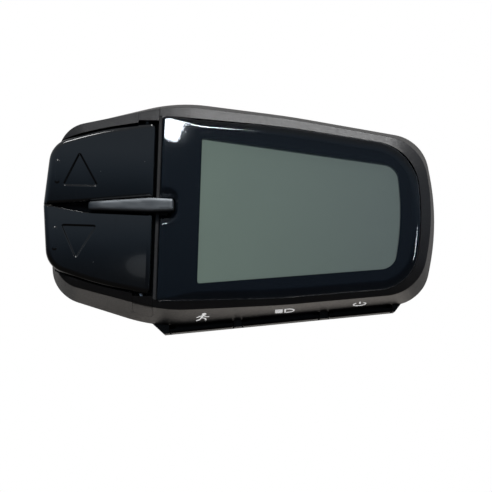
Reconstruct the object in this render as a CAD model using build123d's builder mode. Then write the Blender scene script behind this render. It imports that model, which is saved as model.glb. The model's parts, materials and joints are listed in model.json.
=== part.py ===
"""Handlebar display of an electric bicycle, with two thumb buttons, three lower keys and a bar clamp.

Frame: the origin is the centre of the clamp bore. X runs along the handlebar towards the screen end,
Z is up, and the face looks along -Y. Depths are measured back from the lens face. Millimetres.
"""

import os
from math import cos, radians, sin

from build123d import *

# ---- body: lens face, shells and walls ----
FACE = 31.5  # lens face in front of the handlebar axis
FACET_TOP = 0.4  # depth at which the facet round the face would reach its inner line
FACET_WIDTH = 2.4
RIM = 2.2  # depth of the facet's outer edge
PARTING = 9.5  # depth of the joint between the front housing and the rear case
BACK = 16.5
WALL = 1.8
BACK_ROUND = 5.0
CAVITY_BEVEL = 2.2
CAVITY_FRONT = 3.8
MID_Z = 0.0

# Corners of the outlines from the left end round the top to the right end: x, z, radius.
# A list that stops at the right end is mirrored for the lower half.
WIDEST = [
    (-35.0, MID_Z, 60.0),
    (-33.6, 14.9, 6.5),
    (-12.2, 20.75, 30.0),
    (8.5, 18.75, 150.0),
    (33.3, 15.2, 7.5),
    (36.6, MID_Z, 44.0),
    (34.1, -14.7, 6.8),
    (8.5, -18.05, 150.0),
    (-14.3, -21.0, 30.0),
    (-33.6, -15.6, 6.5),
]
FACE_RIM = [
    (-33.9, MID_Z, 60.0),
    (-32.7, 14.2, 5.5),
    (-12.4, 19.0, 30.0),
    (8.2, 17.25, 150.0),
    (32.6, 13.65, 8.5),
    (35.1, MID_Z, 40.0),
    (32.9, -13.6, 8.0),
    (8.2, -16.65, 150.0),
    (-13.0, -18.35, 30.0),
    (-32.7, -13.8, 5.5),
]
LENS = [
    (-14.5, 16.8, 0.8),
    (7.5, 15.55, 150.0),
    (31.2, 12.5, 9.0),
    (32.9, MID_Z, 45.0),
    (31.7, -12.7, 7.5),
    (7.5, -15.55, 150.0),
    (-14.5, -16.8, 0.8),
]
WINDOW = [(-7.25, 13.25, 0.4), (28.2, 9.35, 3.0), (29.4, MID_Z, 45.0)]
BUTTONS = [
    (-35.7, MID_Z, 60.0),
    (-34.4, 11.2, 4.5),
    (-26.0, 13.9, 60.0),
    (-15.5, 15.75, 1.0),
]

# ---- window stack, by depth ----
LENS_BACK = 2.0
LENS_ROUND = 0.95
LENS_SEAT = 2.15
LEDGE = 1.4
MASK_BACK = 2.1
SEAL_GAP = 0.1
LCD_FRONT = 2.4
LCD_BACK = 3.9
LCD_MARGIN = 0.9
GUIDE_FRONT = 4.0
GUIDE_BACK = 5.2
TRAY_FLOOR = 5.3
TRAY_BACK = 5.9
TRAY_MARGIN = 1.5
TERMINAL_LEFT = -10.3  # the lower glass runs on past the window for its contacts
TERMINAL_HALF = 14.1
CONNECTOR_X = -9.2
CONNECTOR_WIDTH = 1.4
CONNECTOR_HALF = 10.0

# ---- thumb buttons, their bridge and the divider between them ----
BUTTON_TOP = 0.15
BUTTON_SKIRT = 3.4
BUTTON_ROUND = 1.1
BUTTON_WALL = 1.3
BUTTON_UNDER = 1.6
WELL_GAP = 0.25
WELL_FLOOR = 4.6
DECK_BACK = 5.8
SEAM = 0.2
PIVOT_X = -17.3
PIVOT_DEPTH = 3.4
PIN_R = 0.6
PIN_HALF = 16.8
PIN_FIT = 0.05
LUG_WIDTH = 1.8
LUG_LENGTH = 2.2
LUG_FOOT = 4.5
LUG_PLACES = (2.5, 13.1)
PLUNGER_X = -29.0
PLUNGER_Z = 6.5
PLUNGER_R = 1.5
PLUNGER_FOOT = 5.0
PLUNGER_HOLE_R = 2.3
BRIDGE_LEFT = -18.8
BRIDGE_RIGHT = -15.15
BRIDGE_FOOT = 6.6
BRIDGE_ROUND = 0.9
BRIDGE_BAR = 4.7
BRIDGE_GAP = 0.05
BLOCK_INNER = 15.9
POST_HALF = 0.9
GROOVE_DEPTH = 1.2
FIN_TOP = -1.3
FIN_FOOT = 2.1
FIN_CHAMFER = 0.35
FIN_GAP = 0.2
FIN_STATIONS = ((-27.2, -0.15, 0.75), (-15.9, 0.4, 1.3), (-11.9, 0.5, 1.1))  # x, middle z, half width
FIN_CORNER = 0.5
FIN_BELLY = 20.0
ARROW_DEPTH = 0.35
ARROW = ((-29.2, 9.3), (-31.7, 3.75), (-25.9, 3.75))
RIDGE_X = -33.6
RIDGE_Z = 6.3
RIDGE_LENGTH = 4.4
RIDGE_WIDTH = 0.8
RIDGE_RISE = 0.3

# ---- main board and what stands on it ----
BOARD_FRONT = 7.9
BOARD_BACK = 8.9
BOARD_INSET = 2.7
BOARD_NOTCH = 0.35
SWITCH_TOP = 6.9
SWITCH_BODY_TOP = 7.1
SWITCH_SIDE = 4.5
MEMBRANE_FRONT = 5.85
MEMBRANE_BACK = 6.35
NUB_BACK = 6.85
MEMBRANE_X = (-31.5, -25.0)
MEMBRANE_HALF = 9.0
PARTITION_LEFT = -15.1
PARTITION_RIGHT = -13.2
PARTITION_FOOT = 7.4
LED_X = 10.0
LED_PITCH = 7.0
LED_SIDE = 1.6
LED_TOP = 7.2
LED_HOLE_R = 1.3
CONTROLLER_PLACE = ((0.0, 7.0), (-3.5, 3.5))
CONTROLLER_TOP = 7.0
RADIO_PLACE = ((18.0, 28.0), (2.0, 10.0))
RADIO_BACK = 10.7
HEADER_PLACE = ((-15.5, -9.5), (-6.5, -2.5))
HEADER_BACK = 12.4

# ---- screws along Y ----
LEFT_SCREWS = ((-29.0, 11.2), (-29.0, -11.2))
BRIDGE_SCREWS = ((-17.0, 15.2), (-17.0, -15.2))
RIGHT_SCREWS = ((31.2, 8.6), (31.2, -8.6), (9.0, 15.2))
CASE_SCREWS = LEFT_SCREWS + BRIDGE_SCREWS + RIGHT_SCREWS
BOSS_R = 2.2
BOSS_FRONT = 6.0
BRIDGE_BOSS_FRONT = 6.75
SCREW_R = 1.0
SCREW_TIP = 7.3
PILOT_END = 7.1
SCREW_HEAD_R = 1.8
HEAD_SEAT = 14.9
HEAD_BACK = 16.1
TOWER_R = 2.7
BOARD_SCREWS = ((-21.0, 0.0), (13.0, 9.0), (13.0, -9.0))
BOARD_SCREW_R = 0.8
BOARD_HEAD_R = 1.5
BOARD_HEAD_TOP = 6.8
BOARD_SCREW_END = 13.0
BOARD_POST_R = 1.9

# ---- lower keys, in a frame that leans with the lower edge of the body ----
KEY_TILT = radians(7.45)
KEY_UP = Axis((0, 0, 0), (-sin(KEY_TILT), 0, cos(KEY_TILT)))  # the way the keys are pressed
KEY_ORIGIN = (7.95, -19.42)
KEY_STRIP = ((-24.4, 3.5), (-21.25, 0.0), (21.25, 0.0), (24.5, 3.5))
KEY_FRONT = 9.8
KEY_STRIP_BACK = 15.0
KEYS = {"walk_key": (-20.1, -8.5), "light_key": (-6.8, 7.3), "power_key": (9.1, 20.7)}
KEY_GAP = 0.15
KEY_TOP = 0.8
KEY_BACK = 14.4
KEY_ROUND = 0.4
KEY_STEM_FRONT = 11.2
KEY_STEM_BACK = 13.6
KEY_STEM_INSET = 1.0
WEB_BOTTOM = 1.7
WEB_TOP = 2.4
WING_BOTTOM = 2.45
WING_TOP = 3.0
WING_INSET = 0.4
KEY_PLUNGER = 3.9
KEY_PLUNGER_SIDE = 1.8
PORT_FRONT = 10.65
PORT_BACK = 14.45
PORT_HALF = 20.95
PORT_TOP = 5.0
PLUG_GAP = 0.05
KEY_SHEET_BOTTOM = 4.35
KEY_SHEET_TOP = 4.95
KEY_SHEET_HALF = 20.0
KEY_SHEET_FRONT = 10.9
KEY_SHEET_BACK = 13.4
KEY_SWITCH_TOP = 7.3
KEY_SWITCH_BACK = 12.9
KEY_SWITCH_LENGTH = 4.0

# ---- seal, cable inlet and small parts on the back of the board ----
SEAL_OUTER = 0.55
SEAL_INNER = 1.25
SEAL_BACK = 10.1
GLAND_X = -22.0
GLAND_Z = -7.5
GLAND_BORE_R = 1.9
GLAND_R = 3.2
GLAND_FLANGE_R = 4.6
GLAND_FRONT = 13.6
GLAND_OUT = 19.0
GLAND_RIM = 0.8

# ---- handlebar clamp ----
BAR_R = 11.1
LINER = 1.0
RING = 2.5
CLAMP_HALF = 7.0
FOOT_HALF = 11.0
FOOT_BACK = -7.5
BRACKET_SCREW_Z = 5.5
BRACKET_SEAT = -13.6
BRACKET_HEAD = 1.5
BRACKET_HEAD_R = 2.6
BRACKET_SHAFT_R = 1.5
BRACKET_SHAFT_END = -20.4
INSERT_R = 2.3
INSERT_FRONT = 10.8
INSERT_BACK = 14.7
INSERT_BOSS_R = 3.5
INSERT_BOSS_FRONT = 10.5
SLOT_HALF = 0.9
EAR_HALF = 6.0
EAR_OUT = 5.6
EAR_TOP = -11.5
EAR_BOTTOM = -18.4
EAR_ROUND = 2.0
CLAMP_SCREW_Z = -15.4
CLAMP_SCREW_R = 1.5
CLAMP_HEAD_R = 2.75
CLAMP_HEAD = 3.0
CLAMP_SCREW_TIP = -6.4
SOCKET_R = 1.3
SOCKET_DEPTH = 1.5
NUT_SIDE = 5.5
NUT_FRONT = -5.6
NUT_BACK = -3.2
BIG = 100.0  # longer than the whole object, for cuts that go right through

os.makedirs("parts", exist_ok=True)


def at_depth(depth):
    """Plane across the body at this depth behind the lens face, looking out of the face."""
    return Plane.XZ.offset(FACE - depth)


def key_plane(depth):
    """Plane across the body, turned to lie along the row of lower keys; its y axis points into the body."""
    x, z = KEY_ORIGIN
    return Plane(origin=(x, depth - FACE, z), x_dir=(cos(KEY_TILT), 0, sin(KEY_TILT)), z_dir=(0, -1, 0))


def outline(corners, grow=0.0):
    """Closed rounded outline, mirrored if only its upper half is given, and grown or drawn in all round."""
    given_whole = min(z for _, z, _ in corners) < MID_Z
    lower = [] if given_whole else [(x, -z, radius) for x, z, radius in reversed(corners) if z]
    ring = corners + lower
    with BuildSketch() as profile:
        with BuildLine():
            FilletPolyline(*[(x, z) for x, z, _ in ring], radius=[r for _, _, r in ring], close=True)
        make_face()
        if grow:
            offset(amount=grow)
    return profile.sketch


def front_form(inset=0.0):
    """Flaring block from the facet's outer edge back to the parting line."""
    with BuildPart() as form:
        with BuildSketch(at_depth(PARTING)):
            add(outline(WIDEST, -inset))
        with BuildSketch(at_depth(RIM)):
            add(outline(FACE_RIM, -inset))
        loft(ruled=True)
    return form.part


def faceted_form():
    """Outside of the front half: the flaring block and the facet round the face."""
    with BuildPart() as form:
        add(front_form())
        with BuildSketch(at_depth(RIM)):
            add(outline(FACE_RIM))
        with BuildSketch(at_depth(FACET_TOP)):
            add(outline(FACE_RIM, -FACET_WIDTH))
        loft(ruled=True)
    return form.part


def rear_form():
    """Block from the parting line to the rounded back."""
    with BuildPart() as form:
        with BuildSketch(at_depth(BACK)):
            add(outline(WIDEST))
        extrude(amount=BACK - PARTING)
        fillet(form.faces().sort_by(Axis.Y)[-1].edges(), radius=BACK_ROUND)
    return form.part


def rear_cavity():
    """Hollow of the rear case, bevelled towards its floor."""
    floor = BACK - WALL
    bevel_start = floor - CAVITY_BEVEL
    with BuildPart() as hollow:
        with BuildSketch(at_depth(bevel_start)):
            add(outline(WIDEST, -WALL))
        extrude(amount=bevel_start - PARTING)
        with BuildSketch(at_depth(bevel_start)):
            add(outline(WIDEST, -WALL))
        with BuildSketch(at_depth(floor)):
            add(outline(WIDEST, -WALL - CAVITY_BEVEL))
        loft(ruled=True)
    return hollow.part


def bridge_slice(gap=0.0):
    """Upright slice that the button bridge fills, with rounded lower corners as seen on the side walls."""
    left = BRIDGE_LEFT - gap
    right = BRIDGE_RIGHT + gap
    foot = BRIDGE_FOOT + gap - FACE
    top = FIN_TOP - FACE
    with BuildPart() as block:
        with BuildSketch(Plane.XY):
            with BuildLine():
                FilletPolyline(
                    (left, top),
                    (left, foot),
                    (right, foot),
                    (right, top),
                    radius=[0, BRIDGE_ROUND, BRIDGE_ROUND, 0],
                    close=True,
                )
            make_face()
        extrude(amount=BIG / 2, both=True)
    return block.part


def fin_outline(grow=0.0):
    """Spear shape of the thumb divider."""
    upper = [(x, middle + half) for x, middle, half in FIN_STATIONS]
    lower = [(x, middle - half) for x, middle, half in reversed(FIN_STATIONS)]
    with BuildSketch() as profile:
        with BuildLine():
            FilletPolyline(*upper, *lower, radius=[FIN_CORNER, FIN_BELLY, FIN_CORNER] * 2, close=True)
        make_face()
        if grow:
            offset(amount=grow)
    return profile.sketch


def slab(profile, front, back):
    """Straight block of this profile between two depths."""
    with BuildPart() as block:
        with BuildSketch(at_depth(back)):
            add(profile)
        extrude(amount=back - front)
    return block.part


def posts(places, radius, front, back):
    """Round posts along Y, or the holes for them."""
    with BuildPart() as group:
        with BuildSketch(at_depth(back)):
            with Locations(*places):
                Circle(radius)
        extrude(amount=back - front)
    return group.part


def block(x_range, z_range, front, back):
    """Rectangular block between two depths."""
    with BuildPart() as box:
        with BuildSketch(at_depth(back)):
            with Locations(((x_range[0] + x_range[1]) / 2, (z_range[0] + z_range[1]) / 2)):
                Rectangle(x_range[1] - x_range[0], z_range[1] - z_range[0])
        extrude(amount=back - front)
    return box.part


def key_block(x_range, y_range, front, back):
    """Rectangular block in the leaning frame of the lower keys."""
    with BuildPart() as box:
        with BuildSketch(key_plane(back)):
            with Locations(((x_range[0] + x_range[1]) / 2, (y_range[0] + y_range[1]) / 2)):
                Rectangle(x_range[1] - x_range[0], y_range[1] - y_range[0])
        extrude(amount=back - front)
    return box.part


def save(name, part):
    """Labels one finished piece and writes it."""
    part.label = name
    export_step(part, f"parts/{name}.step")


# ---- front housing ----
deck_holes = ((PLUNGER_X, PLUNGER_Z), (PLUNGER_X, -PLUNGER_Z))

with BuildPart() as cavity:
    add(front_form(WALL))
    split(bisect_by=at_depth(CAVITY_FRONT), keep=Keep.BOTTOM)
    add(block((-BIG, PARTITION_LEFT), (-BIG, BIG), FIN_TOP, DECK_BACK), mode=Mode.SUBTRACT)
    add(block((PARTITION_LEFT, PARTITION_RIGHT), (-BIG, BIG), FIN_TOP, PARTITION_FOOT), mode=Mode.SUBTRACT)

with BuildPart() as front_housing:
    add(faceted_form())
    add(cavity.part, mode=Mode.SUBTRACT)
    add(slab(outline(LENS, BRIDGE_GAP), FIN_TOP, LENS_SEAT), mode=Mode.SUBTRACT)
    add(slab(outline(LENS, -LEDGE), FIN_TOP, CAVITY_FRONT), mode=Mode.SUBTRACT)
    add(slab(outline(BUTTONS, WELL_GAP), FIN_TOP, WELL_FLOOR), mode=Mode.SUBTRACT)
    groove_left, groove_half = LENS[0][:2]
    groove = block((BRIDGE_RIGHT, groove_left), (-groove_half, groove_half), FIN_TOP, GROOVE_DEPTH)
    add(groove, mode=Mode.SUBTRACT)
    add(slab(fin_outline(BRIDGE_GAP), FIN_TOP, LENS_SEAT), mode=Mode.SUBTRACT)
    add(posts(deck_holes, PLUNGER_HOLE_R, WELL_FLOOR, DECK_BACK), mode=Mode.SUBTRACT)
    add(bridge_slice(BRIDGE_GAP), mode=Mode.SUBTRACT)
    add(posts(LEFT_SCREWS, BOSS_R, DECK_BACK, PARTING))
    add(posts(BRIDGE_SCREWS, BOSS_R, BRIDGE_BOSS_FRONT, PARTING))
    add(posts(RIGHT_SCREWS, BOSS_R, BOSS_FRONT, PARTING))
    add(posts(CASE_SCREWS, SCREW_R, PILOT_END, PARTING), mode=Mode.SUBTRACT)
save("front_housing", front_housing.part)

# ---- button bridge, pivot pin and thumb divider ----
with BuildPart() as button_bridge:
    add(faceted_form())
    add(bridge_slice(), mode=Mode.INTERSECT)
    add(block((-BIG, BIG), (-BLOCK_INNER, BLOCK_INNER), FIN_TOP, BRIDGE_BAR), mode=Mode.SUBTRACT)
    add(block((BRIDGE_LEFT + BRIDGE_GAP, BRIDGE_RIGHT), (-POST_HALF, POST_HALF), FIN_FOOT, BRIDGE_BAR))
    with BuildSketch(Plane.XY):
        with Locations((PIVOT_X, PIVOT_DEPTH - FACE)):
            Circle(PIN_R)
    extrude(amount=PIN_HALF, both=True, mode=Mode.SUBTRACT)
save("button_bridge", button_bridge.part)

with BuildPart() as pivot_pin:
    with BuildSketch(Plane.XY):
        with Locations((PIVOT_X, PIVOT_DEPTH - FACE)):
            Circle(PIN_R)
    extrude(amount=PIN_HALF, both=True)
save("pivot_pin", pivot_pin.part)

with BuildPart() as thumb_divider:
    with BuildSketch(at_depth(FIN_FOOT)):
        add(fin_outline())
    extrude(amount=FIN_FOOT - FIN_TOP)
    chamfer(thumb_divider.faces().sort_by(Axis.Y)[0].edges(), length=FIN_CHAMFER)
save("thumb_divider", thumb_divider.part)


# ---- thumb buttons ----
def button_half(grow=0.0):
    """Upper half of the button pair's outline, short of the seam."""
    with BuildSketch() as half:
        add(outline(BUTTONS, grow))
        with Locations((PIVOT_X, BIG / 2 + SEAM - grow)):
            Rectangle(BIG, BIG, mode=Mode.INTERSECT)
    return half.sketch


def button_shell():
    """Upper thumb button, with its arrow, touch ridge, pivot lugs and plunger."""
    with BuildPart() as cap:
        with BuildSketch(at_depth(BUTTON_SKIRT)):
            add(button_half())
        extrude(amount=BUTTON_SKIRT - BUTTON_TOP)
        fillet(cap.faces().sort_by(Axis.Y)[0].edges(), radius=BUTTON_ROUND)
        with BuildSketch(at_depth(BUTTON_SKIRT)):
            add(button_half(-BUTTON_WALL))
        extrude(amount=BUTTON_SKIRT - BUTTON_UNDER, mode=Mode.SUBTRACT)
        with BuildSketch(at_depth(BUTTON_TOP)):
            with BuildLine():
                Polyline(*ARROW, close=True)
            make_face()
        extrude(amount=-ARROW_DEPTH, mode=Mode.SUBTRACT)
        with BuildSketch(at_depth(BUTTON_TOP)):
            with Locations((RIDGE_X, RIDGE_Z)):
                SlotOverall(RIDGE_LENGTH, RIDGE_WIDTH, rotation=90)
        extrude(amount=RIDGE_RISE)
        for place in LUG_PLACES:
            half_length = LUG_LENGTH / 2
            half_width = LUG_WIDTH / 2
            lug_x = (PIVOT_X - half_length, PIVOT_X + half_length)
            add(block(lug_x, (place - half_width, place + half_width), BUTTON_TOP + BUTTON_WALL, LUG_FOOT))
        add(posts(((PLUNGER_X, PLUNGER_Z),), PLUNGER_R, BUTTON_TOP + BUTTON_WALL, PLUNGER_FOOT))
        post_room = block((BRIDGE_LEFT - FIN_GAP, BIG), (-BIG, POST_HALF + FIN_GAP), BUTTON_UNDER, LUG_FOOT)
        add(post_room, mode=Mode.SUBTRACT)
        with BuildSketch(Plane.XY):
            with Locations((PIVOT_X, PIVOT_DEPTH - FACE)):
                Circle(PIN_R + PIN_FIT)
        extrude(amount=BIG, mode=Mode.SUBTRACT)
    return cap.part


with BuildPart() as up_button:
    add(button_shell())
    add(slab(fin_outline(FIN_GAP), FIN_TOP, LUG_FOOT), mode=Mode.SUBTRACT)
save("up_button", up_button.part)

with BuildPart() as down_button:
    mirror(button_shell(), about=Plane.XY)
    add(slab(fin_outline(FIN_GAP), FIN_TOP, LUG_FOOT), mode=Mode.SUBTRACT)
save("down_button", down_button.part)

# ---- window stack ----
with BuildPart() as window_lens:
    add(slab(outline(LENS), MID_Z, LENS_BACK))
    fillet(window_lens.faces().sort_by(Axis.Y)[0].edges(), radius=LENS_ROUND)
    add(slab(fin_outline(FIN_GAP), FIN_TOP, LENS_BACK), mode=Mode.SUBTRACT)
save("window_lens", window_lens.part)

with BuildPart() as window_mask:
    add(slab(outline(LENS, -LEDGE - SEAL_GAP), LENS_BACK, MASK_BACK))
    add(slab(outline(WINDOW), LENS_BACK, MASK_BACK), mode=Mode.SUBTRACT)
    add(slab(fin_outline(FIN_GAP), LENS_BACK, MASK_BACK), mode=Mode.SUBTRACT)
save("window_mask", window_mask.part)

with BuildPart() as lens_adhesive:
    add(slab(outline(LENS, -SEAL_GAP), LENS_BACK, LENS_SEAT))
    add(slab(outline(LENS, -LEDGE), LENS_BACK, LENS_SEAT), mode=Mode.SUBTRACT)
    add(slab(fin_outline(FIN_GAP), LENS_BACK, LENS_SEAT), mode=Mode.SUBTRACT)
save("lens_adhesive", lens_adhesive.part)


def glass_outline(margin, left, half):
    """Window outline with a margin, carried on to the left for the glass's contacts."""
    with BuildSketch() as profile:
        add(outline(WINDOW, margin))
        with Locations((left + (WINDOW[0][0] - left) / 2, MID_Z)):
            Rectangle(WINDOW[0][0] - left, 2 * half)
    return profile.sketch


with BuildPart() as lcd_panel:
    add(slab(glass_outline(LCD_MARGIN, TERMINAL_LEFT, TERMINAL_HALF), LCD_FRONT, LCD_BACK))
save("lcd_panel", lcd_panel.part)

with BuildPart() as light_guide:
    add(slab(outline(WINDOW, LCD_MARGIN / 2), GUIDE_FRONT, GUIDE_BACK))
save("light_guide", light_guide.part)

connector_range = (CONNECTOR_X - CONNECTOR_WIDTH / 2, CONNECTOR_X + CONNECTOR_WIDTH / 2)
led_places = [(LED_X, step * LED_PITCH) for step in (-1, 0, 1)]

with BuildPart() as lcd_tray:
    tray_step = TRAY_MARGIN - LCD_MARGIN
    tray_outline = glass_outline(TRAY_MARGIN, TERMINAL_LEFT - tray_step, TERMINAL_HALF + tray_step)
    add(slab(tray_outline, LCD_FRONT, TRAY_BACK))
    clear_glass = glass_outline(LCD_MARGIN + SEAL_GAP, TERMINAL_LEFT - SEAL_GAP, TERMINAL_HALF + SEAL_GAP)
    add(slab(clear_glass, LCD_FRONT, TRAY_FLOOR), mode=Mode.SUBTRACT)
    slot_x = (connector_range[0] - SEAL_GAP, connector_range[1] + SEAL_GAP)
    slot_z = (-CONNECTOR_HALF - SEAL_GAP, CONNECTOR_HALF + SEAL_GAP)
    add(block(slot_x, slot_z, TRAY_FLOOR, TRAY_BACK), mode=Mode.SUBTRACT)
    add(posts(led_places, LED_HOLE_R, TRAY_FLOOR, TRAY_BACK), mode=Mode.SUBTRACT)
save("lcd_tray", lcd_tray.part)

with BuildPart() as lcd_connector:
    add(block(connector_range, (-CONNECTOR_HALF, CONNECTOR_HALF), LCD_BACK, BOARD_FRONT))
save("lcd_connector", lcd_connector.part)

# ---- main board and its components ----
with BuildPart() as main_board:
    add(slab(outline(WIDEST, -BOARD_INSET), BOARD_FRONT, BOARD_BACK))
    add(posts(CASE_SCREWS, BOSS_R + BOARD_NOTCH, BOARD_FRONT, BOARD_BACK), mode=Mode.SUBTRACT)
    add(posts(BOARD_SCREWS, BOARD_SCREW_R, BOARD_FRONT, BOARD_BACK), mode=Mode.SUBTRACT)
save("main_board", main_board.part)


def square_range(centre, side):
    """Ends of a span of this length about a centre."""
    return (centre - side / 2, centre + side / 2)


for switch_name, switch_z in (("up_switch", PLUNGER_Z), ("down_switch", -PLUNGER_Z)):
    with BuildPart() as switch:
        side_to_side = square_range(PLUNGER_X, SWITCH_SIDE)
        add(block(side_to_side, square_range(switch_z, SWITCH_SIDE), SWITCH_BODY_TOP, BOARD_FRONT))
        add(posts(((PLUNGER_X, switch_z),), PLUNGER_R, SWITCH_TOP, BOARD_FRONT))
    save(switch_name, switch.part)

with BuildPart() as backlight_leds:
    for led_x, led_z in led_places:
        add(block(square_range(led_x, LED_SIDE), square_range(led_z, LED_SIDE), LED_TOP, BOARD_FRONT))
save("backlight_leds", backlight_leds.part)

with BuildPart() as microcontroller:
    add(block(*CONTROLLER_PLACE, CONTROLLER_TOP, BOARD_FRONT))
save("microcontroller", microcontroller.part)

with BuildPart() as radio_module:
    add(block(*RADIO_PLACE, BOARD_BACK, RADIO_BACK))
save("radio_module", radio_module.part)

with BuildPart() as cable_header:
    add(block(*HEADER_PLACE, BOARD_BACK, HEADER_BACK))
save("cable_header", cable_header.part)

with BuildPart() as button_membrane:
    add(block(MEMBRANE_X, (-MEMBRANE_HALF, MEMBRANE_HALF), MEMBRANE_FRONT, MEMBRANE_BACK))
    add(posts(deck_holes, PLUNGER_R, MEMBRANE_BACK, NUB_BACK))
    add(posts(LEFT_SCREWS, BOSS_R + SEAL_GAP, MEMBRANE_FRONT, NUB_BACK), mode=Mode.SUBTRACT)
save("button_membrane", button_membrane.part)

with BuildPart() as board_screws:
    add(posts(BOARD_SCREWS, BOARD_SCREW_R, BOARD_FRONT, BOARD_SCREW_END))
    add(posts(BOARD_SCREWS, BOARD_HEAD_R, BOARD_HEAD_TOP, BOARD_FRONT))
save("board_screws", board_screws.part)

# ---- rear case, its seal and screws ----
insert_places = ((MID_Z, BRACKET_SCREW_Z), (MID_Z, -BRACKET_SCREW_Z))

with BuildPart() as perimeter_seal:
    add(slab(outline(WIDEST, -SEAL_OUTER), PARTING, SEAL_BACK))
    add(slab(outline(WIDEST, -SEAL_INNER), PARTING, SEAL_BACK), mode=Mode.SUBTRACT)
save("perimeter_seal", perimeter_seal.part)

with BuildPart() as rear_case:
    add(rear_form())
    add(rear_cavity(), mode=Mode.SUBTRACT)
    add(posts(CASE_SCREWS, TOWER_R, PARTING, BACK - WALL / 2))
    add(posts(BOARD_SCREWS, BOARD_POST_R, BOARD_BACK, BACK - WALL / 2))
    add(posts(insert_places, INSERT_BOSS_R, INSERT_BOSS_FRONT, BACK - WALL / 2))
    add(rear_form(), mode=Mode.INTERSECT)
    add(perimeter_seal.part, mode=Mode.SUBTRACT)
    add(posts(BOARD_SCREWS, BOARD_SCREW_R, BOARD_BACK, BOARD_SCREW_END), mode=Mode.SUBTRACT)
    add(posts(CASE_SCREWS, SCREW_R + SEAL_GAP, PARTING, BACK), mode=Mode.SUBTRACT)
    add(posts(CASE_SCREWS, SCREW_HEAD_R + SEAL_GAP, HEAD_SEAT, BACK), mode=Mode.SUBTRACT)
    add(posts(insert_places, INSERT_R, INSERT_BOSS_FRONT, INSERT_BACK), mode=Mode.SUBTRACT)
    add(posts(insert_places, BRACKET_SHAFT_R, INSERT_BACK, BACK), mode=Mode.SUBTRACT)
    add(posts(((GLAND_X, GLAND_Z),), GLAND_R, PARTING, BACK), mode=Mode.SUBTRACT)
    add(key_block((-PORT_HALF, PORT_HALF), (MID_Z, PORT_TOP), PORT_FRONT, PORT_BACK), mode=Mode.SUBTRACT)
save("rear_case", rear_case.part)

with BuildPart() as case_screws:
    add(posts(CASE_SCREWS, SCREW_R, SCREW_TIP, HEAD_SEAT))
    add(posts(CASE_SCREWS, SCREW_HEAD_R, HEAD_SEAT, HEAD_BACK))
save("case_screws", case_screws.part)

with BuildPart() as cable_gland:
    gland_place = ((GLAND_X, GLAND_Z),)
    add(posts(gland_place, GLAND_R, GLAND_FRONT, GLAND_OUT))
    add(posts(gland_place, GLAND_FLANGE_R, GLAND_FRONT, BACK - WALL))
    add(posts(gland_place, GLAND_FLANGE_R, BACK, BACK + GLAND_RIM))
    add(posts(gland_place, GLAND_BORE_R, GLAND_FRONT, GLAND_OUT), mode=Mode.SUBTRACT)
save("cable_gland", cable_gland.part)

# ---- lower keys and their frame ----
with BuildPart() as key_frame:
    with BuildSketch(key_plane(KEY_STRIP_BACK)):
        with BuildLine():
            Polyline(*KEY_STRIP, close=True)
        make_face()
    extrude(amount=KEY_STRIP_BACK - KEY_FRONT)
    add(rear_form(), mode=Mode.SUBTRACT)
    plug_half = PORT_HALF - PLUG_GAP
    add(key_block((-plug_half, plug_half), (KEY_TOP, WEB_TOP), PORT_FRONT + PLUG_GAP, PORT_BACK - PLUG_GAP))
    for key_start, key_end in KEYS.values():
        cap_range = (key_start - KEY_GAP, key_end + KEY_GAP)
        add(key_block(cap_range, (-KEY_TOP, WEB_BOTTOM), RIM, KEY_BACK + KEY_GAP), mode=Mode.SUBTRACT)
        stem_range = (key_start + KEY_STEM_INSET - KEY_GAP, key_end - KEY_STEM_INSET + KEY_GAP)
        stem_depths = (KEY_STEM_FRONT - KEY_GAP, KEY_STEM_BACK + KEY_GAP)
        add(key_block(stem_range, (MID_Z, KEY_PLUNGER), *stem_depths), mode=Mode.SUBTRACT)
save("key_frame", key_frame.part)


def lower_key(start, end):
    """One lower key: its cap, the stem through the frame, the wings that hold it in, and its plunger."""
    middle = (start + end) / 2
    with BuildPart() as key:
        with BuildSketch(key_plane(KEY_BACK)):
            with Locations((middle, KEY_TOP / 2)):
                Rectangle(end - start, KEY_TOP)
        extrude(amount=KEY_BACK - KEY_FRONT)
        fillet(key.faces().sort_by(KEY_UP)[0].edges(), radius=KEY_ROUND)
        stem_range = (start + KEY_STEM_INSET, end - KEY_STEM_INSET)
        add(key_block(stem_range, (KEY_TOP, WING_TOP), KEY_STEM_FRONT, KEY_STEM_BACK))
        wing_range = (start + WING_INSET, end - WING_INSET)
        add(key_block(wing_range, (WING_BOTTOM, WING_TOP), KEY_STEM_FRONT, KEY_STEM_BACK))
        plunger_range = square_range(middle, KEY_PLUNGER_SIDE)
        add(key_block(plunger_range, (WING_TOP, KEY_PLUNGER), KEY_STEM_FRONT, KEY_STEM_BACK))
    return key.part


for key_name, (key_start, key_end) in KEYS.items():
    with BuildPart() as finished_key:
        add(lower_key(key_start, key_end))
    save(key_name, finished_key.part)

with BuildPart() as key_membrane:
    sheet_range = (-KEY_SHEET_HALF, KEY_SHEET_HALF)
    add(key_block(sheet_range, (KEY_SHEET_BOTTOM, KEY_SHEET_TOP), KEY_SHEET_FRONT, KEY_SHEET_BACK))
save("key_membrane", key_membrane.part)

for key_name, (key_start, key_end) in KEYS.items():
    switch_range = square_range((key_start + key_end) / 2, KEY_SWITCH_LENGTH)
    with BuildPart() as key_switch:
        add(key_block(switch_range, (KEY_SHEET_TOP, KEY_SWITCH_TOP), BOARD_BACK, KEY_SWITCH_BACK))
    save(key_name.replace("key", "switch"), key_switch.part)

# ---- handlebar clamp ----
def bar_tube(radius):
    """Round bar along the handlebar axis, as wide as the clamp."""
    with BuildPart() as tube:
        with BuildSketch(Plane.YZ):
            Circle(radius)
        extrude(amount=CLAMP_HALF, both=True)
    return tube.part


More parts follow.
